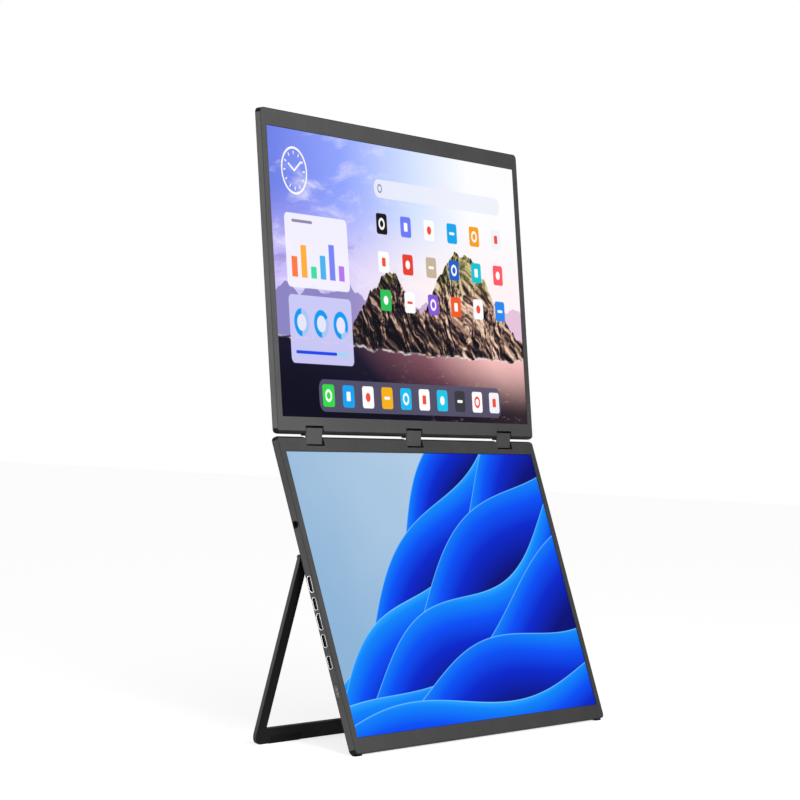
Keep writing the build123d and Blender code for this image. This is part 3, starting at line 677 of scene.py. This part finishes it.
def white_to_camera(graph, strength):
    """Adds light that only the camera and reflections see, so the floor is white but keeps its shadow."""
    path = graph.new("ShaderNodeLightPath")
    camera_ray, glossy_ray, clear_ray = (Wire(graph, path.outputs[key]) for key in seen_rays)
    seen = graph.math("MAXIMUM", graph.math("MAXIMUM", camera_ray, glossy_ray), clear_ray)
    glow = graph.new("ShaderNodeEmission")
    glow.inputs["Color"].default_value = (1, 1, 1, 1)
    graph.feed(glow.inputs["Strength"], seen * strength)
    total = graph.new("ShaderNodeAddShader")
    graph.tree.links.new(graph.shader.outputs[0], total.inputs[0])
    graph.tree.links.new(glow.outputs[0], total.inputs[1])
    graph.tree.links.new(total.outputs[0], graph.tree.nodes["Material Output"].inputs["Surface"])


floor_half = 6.0
floor_mesh = bpy.data.meshes.new("floor")
corners = [(-floor_half, -floor_half, 0), (floor_half, -floor_half, 0), (floor_half, floor_half, 0),
           (-floor_half, floor_half, 0)]
floor_mesh.from_pydata(corners, [], [(0, 1, 2, 3)])
floor = bpy.data.objects.new("floor", floor_mesh)
bpy.context.scene.collection.objects.link(floor)
paper = plain("floor_paper", (0.46, 0.46, 0.46, 1.0), 0.9)
white_to_camera(paper, 0.78)
floor_mesh.materials.append(paper.material)

world = bpy.data.worlds.new("studio")
bpy.context.scene.world = world
world.use_nodes = True
tree = world.node_tree
backing = tree.nodes["Background"]
path = tree.nodes.new("ShaderNodeLightPath")
chosen = None
for key in seen_rays:
    if chosen is None:
        chosen = path.outputs[key]
        continue
    either = tree.nodes.new("ShaderNodeMath")
    either.operation = "MAXIMUM"
    tree.links.new(chosen, either.inputs[0])
    tree.links.new(path.outputs[key], either.inputs[1])
    chosen = either.outputs[0]
level = tree.nodes.new("ShaderNodeMapRange")
level.inputs["To Min"].default_value = 0.23
level.inputs["To Max"].default_value = 1.0
tree.links.new(chosen, level.inputs["Value"])
tree.links.new(level.outputs[0], backing.inputs["Strength"])
backing.inputs["Color"].default_value = (1, 1, 1, 1)


def soft_lamp(name, place, target, width, power):
    """A square lamp that looks at a target, unseen by the camera."""
    data = bpy.data.lights.new(name, "AREA")
    data.shape = "RECTANGLE"
    data.size = width
    data.size_y = width
    data.energy = power
    lamp = bpy.data.objects.new(name, data)
    lamp.location = place
    lamp.rotation_euler = (Vector(target) - Vector(place)).to_track_quat("-Z", "Y").to_euler()
    lamp.visible_camera = False
    bpy.context.scene.collection.objects.link(lamp)


middle = (0.0, 0.03, 0.21)
wide_lamp = 1.6
soft_lamp("key_lamp", (-2.2, -1.6, 2.2), middle, wide_lamp, 25)
soft_lamp("fill_lamp", (1.4, -2.6, 1.4), middle, wide_lamp, 3)
soft_lamp("near_lamp", (-0.44, -0.46, 0.34), middle, 0.3, 5.2)

azimuth = math.radians(-59.6555)
elevation = math.radians(-0.134)
roll = math.radians(2.3129)
distance = 2.17894
target = Vector((0.0, 0.033306, 0.231911))
away = Vector((math.sin(azimuth) * math.cos(elevation), -math.cos(azimuth) * math.cos(elevation),
               math.sin(elevation)))
focal_length_px = 3072.37
picture_width_px = 800.0
camera_data = bpy.data.cameras.new("camera")
camera_data.sensor_width = 36.0
camera_data.lens = focal_length_px * 36.0 / picture_width_px
camera_data.clip_start = 0.05
camera_data.clip_end = 50.0
camera = bpy.data.objects.new("camera", camera_data)
camera.location = target + away * distance
aim = (-away).to_track_quat("-Z", "Y") @ Quaternion((0.0, 0.0, 1.0), roll)
camera.rotation_euler = aim.to_euler()
bpy.context.scene.collection.objects.link(camera)
bpy.context.scene.camera = camera

bpy.context.scene.view_settings.view_transform = "Standard"
